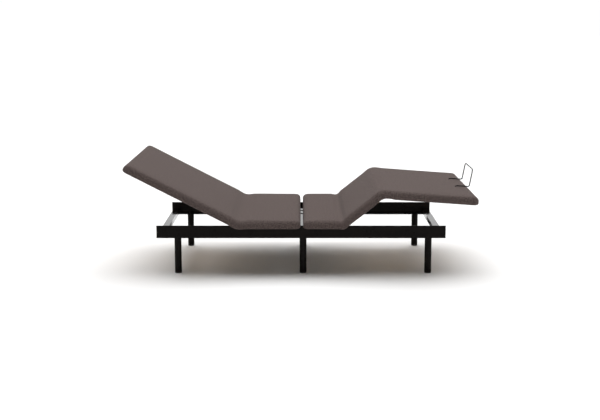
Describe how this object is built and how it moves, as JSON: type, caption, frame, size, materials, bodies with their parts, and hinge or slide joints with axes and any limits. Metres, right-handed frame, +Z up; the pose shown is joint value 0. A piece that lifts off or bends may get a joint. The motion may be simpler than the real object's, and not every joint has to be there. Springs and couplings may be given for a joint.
{
  "type": "adjustable bed base",
  "caption": "Adjustable bed base: upholstered platforms with lifting head, thigh and foot sections on a black steel frame with round legs and a wire mattress retainer.",
  "frame": {"origin": "centre of the box round the whole object as it stands, on the floor", "axes": "+X towards the foot end, +Y to the far side, +Z up"},
  "size_m": [1.9132, 0.965, 0.6121],
  "materials": {
    "painted_steel": "semi-gloss black paint",
    "zinc_steel": "zinc plate",
    "plywood": "raw plywood",
    "upholstery": "brown-grey woven polyester over foam",
    "black_plastic": "moulded, fine texture",
    "nylon": "natural nylon",
    "rubber_lead": "smooth cable jacket"
  },
  "bodies": {
    "root": {"right_side_rail": "painted_steel", "left_side_rail": "painted_steel", "head_crossbar": "painted_steel", "middle_crossbar": "painted_steel", "foot_crossbar": "painted_steel", "leg_head_right": "painted_steel", "leg_head_left": "painted_steel", "leg_middle_right": "painted_steel", "leg_middle_left": "painted_steel", "leg_foot_right": "painted_steel", "leg_foot_left": "painted_steel", "leg_glides": "black_plastic", "leg_nuts": "painted_steel", "crossbar_bolts": "painted_steel", "seat_cleats": "painted_steel", "seat_bolts": "zinc_steel", "head_side_seat_board": "plywood", "foot_side_seat_board": "plywood", "head_side_seat_pad": "upholstery", "foot_side_seat_pad": "upholstery", "seat_hinge_leaves": "zinc_steel", "seat_hinge_pins": "zinc_steel", "bearing_brackets": "painted_steel", "actuator_hangers": "painted_steel", "actuator_tail_pins": "zinc_steel", "head_gearbox": "black_plastic", "head_motor": "black_plastic", "head_outer_tube": "zinc_steel", "leg_gearbox": "black_plastic", "leg_motor": "black_plastic", "leg_outer_tube": "zinc_steel", "control_box": "black_plastic", "mains_inlet": "black_plastic", "motor_leads": "rubber_lead", "foot_link_mounts": "painted_steel"},
    "head": {"head_board": "plywood", "head_pad": "upholstery", "head_hinge_leaves": "zinc_steel"},
    "thigh": {"thigh_board": "plywood", "thigh_pad": "upholstery", "thigh_hinge_leaves": "zinc_steel", "knee_hinge_leaves": "zinc_steel", "knee_hinge_pins": "zinc_steel"},
    "foot": {"foot_board": "plywood", "foot_pad": "upholstery", "foot_hinge_leaves": "zinc_steel", "foot_link_hangers": "painted_steel", "retainer_bar": "painted_steel", "retainer_nuts": "zinc_steel"},
    "head_tube": {"head_torque_tube": "painted_steel", "head_lift_arms": "painted_steel", "head_lever": "painted_steel"},
    "head_roller_pair": {"head_rollers": "nylon"},
    "leg_tube": {"leg_torque_tube": "painted_steel", "leg_lift_arms": "painted_steel", "leg_lever": "painted_steel"},
    "leg_roller_pair": {"leg_rollers": "nylon"},
    "head_actuator_rod": {"head_rod": "zinc_steel"},
    "leg_actuator_rod": {"leg_rod": "zinc_steel"},
    "foot_link_pair": {"foot_links": "painted_steel"}
  },
  "joints": [
    {"name": "head_lift", "type": "hinge", "parent": "root", "child": "head", "pos_m": [-0.35116, 0, 0.258], "axis": [0, 1, 0], "range_deg": [-27.15, 32.75]},
    {"name": "leg_lift", "type": "hinge", "parent": "root", "child": "thigh", "pos_m": [0.22884, 0, 0.258], "axis": [0, -1, 0], "range_deg": [-38, 6.9]},
    {"name": "foot_fold", "type": "hinge", "parent": "thigh", "child": "foot", "pos_m": [0.4358, 0, 0.42028], "axis": [0, -1, 0], "range_deg": [-7.67, 42.04]},
    {"name": "head_tube_turn", "type": "hinge", "parent": "root", "child": "head_tube", "pos_m": [-0.29916, 0, 0.228], "axis": [0, 1, 0], "range_deg": [-23.45, 28.28]},
    {"name": "leg_tube_turn", "type": "hinge", "parent": "root", "child": "leg_tube", "pos_m": [0.15684, 0, 0.228], "axis": [0, -1, 0], "range_deg": [-28.36, 5.19]},
    {"name": "head_roller_spin", "type": "hinge", "parent": "head_tube", "child": "head_roller_pair", "pos_m": [-0.67788, 0, 0.40958], "axis": [0, 1, 0], "continuous": true},
    {"name": "leg_roller_spin", "type": "hinge", "parent": "leg_tube", "child": "leg_roller_pair", "pos_m": [0.413, 0, 0.38414], "axis": [0, 1, 0], "continuous": true},
    {"name": "head_rod_slide", "type": "slide", "parent": "root", "child": "head_actuator_rod", "axis": [-1, 0, 0], "range_m": [-0.02569, 0.03095]},
    {"name": "leg_rod_slide", "type": "slide", "parent": "root", "child": "leg_actuator_rod", "axis": [1, 0, 0], "range_m": [-0.03151, 0.00588]},
    {"name": "foot_link_turn", "type": "hinge", "parent": "root", "child": "foot_link_pair", "pos_m": [0.22884, 0, 0.218], "axis": [0, -1, 0], "range_deg": [-38.05, 6.95]}
  ],
  "couplings": [
    {"joint": "foot_fold", "follows": "leg_lift", "ratio": -1.105},
    {"joint": "head_tube_turn", "follows": "head_lift", "ratio": 0.862},
    {"joint": "leg_tube_turn", "follows": "leg_lift", "ratio": 0.745},
    {"joint": "head_rod_slide", "follows": "head_lift", "m_per_rad": 0.053789},
    {"joint": "leg_rod_slide", "follows": "leg_lift", "m_per_rad": 0.047203},
    {"joint": "foot_link_turn", "follows": "leg_lift", "ratio": 1}
  ]
}
